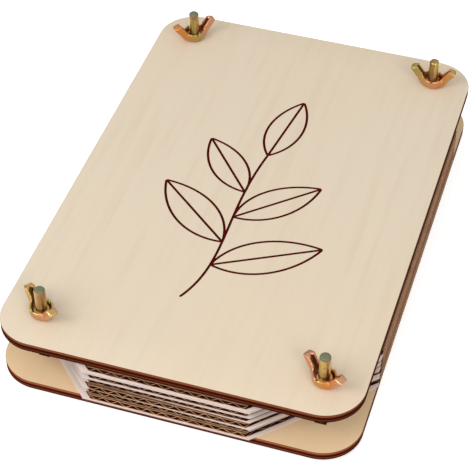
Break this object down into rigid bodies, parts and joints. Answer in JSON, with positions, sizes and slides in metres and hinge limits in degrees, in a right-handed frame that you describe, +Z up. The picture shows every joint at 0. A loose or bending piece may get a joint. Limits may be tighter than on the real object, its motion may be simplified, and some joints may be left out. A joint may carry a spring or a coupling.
{
  "type": "flower press",
  "caption": "Plywood press with rounded corners, clamped by corner bolts and wing nuts over a stack of corrugated cards and blotting sheets.",
  "frame": {"origin": "middle of the surface the press stands on, under the middle of the boards", "axes": "+X across the width, to the right; +Y along the length, to the back; +Z up, along the bolts"},
  "size_m": [0.1668, 0.2478, 0.0483],
  "materials": {
    "plywood": "pale birch plywood, sanded, laser-cut dark edges, matte",
    "bolt_zinc": "yellow zinc plated, satin",
    "nut_zinc": "yellow zinc plated, satin with copper and gold tints",
    "kraft_card": "brown corrugated card, matte",
    "blotting_paper": "white blotting paper, matte"
  },
  "bodies": {
    "base": {"base_board": "plywood", "bolt_front_left": "bolt_zinc", "bolt_front_right": "bolt_zinc", "bolt_back_left": "bolt_zinc", "bolt_back_right": "bolt_zinc"},
    "layer_1": {"sheet_01": "blotting_paper", "card_1": "kraft_card", "sheet_02": "blotting_paper"},
    "layer_2": {"card_2": "kraft_card", "sheet_03": "blotting_paper"},
    "layer_3": {"sheet_04": "blotting_paper", "card_3": "kraft_card", "sheet_05": "blotting_paper"},
    "layer_4": {"card_4": "kraft_card", "sheet_06": "blotting_paper"},
    "layer_5": {"sheet_07": "blotting_paper", "card_5": "kraft_card", "sheet_08": "blotting_paper", "sheet_09": "blotting_paper", "sheet_10": "blotting_paper"},
    "layer_6": {"sheet_11": "blotting_paper", "sheet_12": "blotting_paper", "sheet_13": "blotting_paper", "card_6": "kraft_card"},
    "top": {"top_board": "plywood"},
    "nut_front_left": {"wing_nut_front_left": "nut_zinc"},
    "nut_front_right": {"wing_nut_front_right": "nut_zinc"},
    "nut_back_left": {"wing_nut_back_left": "nut_zinc"},
    "nut_back_right": {"wing_nut_back_right": "nut_zinc"}
  },
  "joints": [
    {"name": "nut_front_left_turn", "type": "hinge", "parent": "top", "child": "nut_front_left", "pos_m": [-0.064, -0.104, 0.0335], "axis": [0, 0, 1], "range_deg": [0, 4320]},
    {"name": "nut_front_right_turn", "type": "hinge", "parent": "top", "child": "nut_front_right", "pos_m": [0.064, -0.104, 0.0335], "axis": [0, 0, 1], "range_deg": [0, 4320]},
    {"name": "nut_back_left_turn", "type": "hinge", "parent": "top", "child": "nut_back_left", "pos_m": [-0.064, 0.104, 0.0335], "axis": [0, 0, 1], "range_deg": [0, 4320]},
    {"name": "nut_back_right_turn", "type": "hinge", "parent": "top", "child": "nut_back_right", "pos_m": [0.064, 0.104, 0.0335], "axis": [0, 0, 1], "range_deg": [0, 4320]},
    {"name": "top_board_lift", "type": "slide", "parent": "base", "child": "top", "axis": [0, 0, 1], "range_m": [0, 0.0096]},
    {"name": "layer_1_lift", "type": "slide", "parent": "base", "child": "layer_1", "axis": [0, 0, 1], "range_m": [0, 0.00137]},
    {"name": "layer_2_lift", "type": "slide", "parent": "base", "child": "layer_2", "axis": [0, 0, 1], "range_m": [0, 0.00274]},
    {"name": "layer_3_lift", "type": "slide", "parent": "base", "child": "layer_3", "axis": [0, 0, 1], "range_m": [0, 0.00411]},
    {"name": "layer_4_lift", "type": "slide", "parent": "base", "child": "layer_4", "axis": [0, 0, 1], "range_m": [0, 0.00549]},
    {"name": "layer_5_lift", "type": "slide", "parent": "base", "child": "layer_5", "axis": [0, 0, 1], "range_m": [0, 0.00686]},
    {"name": "layer_6_lift", "type": "slide", "parent": "base", "child": "layer_6", "axis": [0, 0, 1], "range_m": [0, 0.00823]}
  ],
  "couplings": [
    {"joint": "nut_front_left_turn", "follows": "top_board_lift", "rad_per_m": 7854},
    {"joint": "nut_front_right_turn", "follows": "top_board_lift", "rad_per_m": 7854},
    {"joint": "nut_back_left_turn", "follows": "top_board_lift", "rad_per_m": 7854},
    {"joint": "nut_back_right_turn", "follows": "top_board_lift", "rad_per_m": 7854},
    {"joint": "layer_1_lift", "follows": "top_board_lift", "ratio": 0.14286},
    {"joint": "layer_2_lift", "follows": "top_board_lift", "ratio": 0.28571},
    {"joint": "layer_3_lift", "follows": "top_board_lift", "ratio": 0.42857},
    {"joint": "layer_4_lift", "follows": "top_board_lift", "ratio": 0.57143},
    {"joint": "layer_5_lift", "follows": "top_board_lift", "ratio": 0.71428},
    {"joint": "layer_6_lift", "follows": "top_board_lift", "ratio": 0.85714}
  ]
}
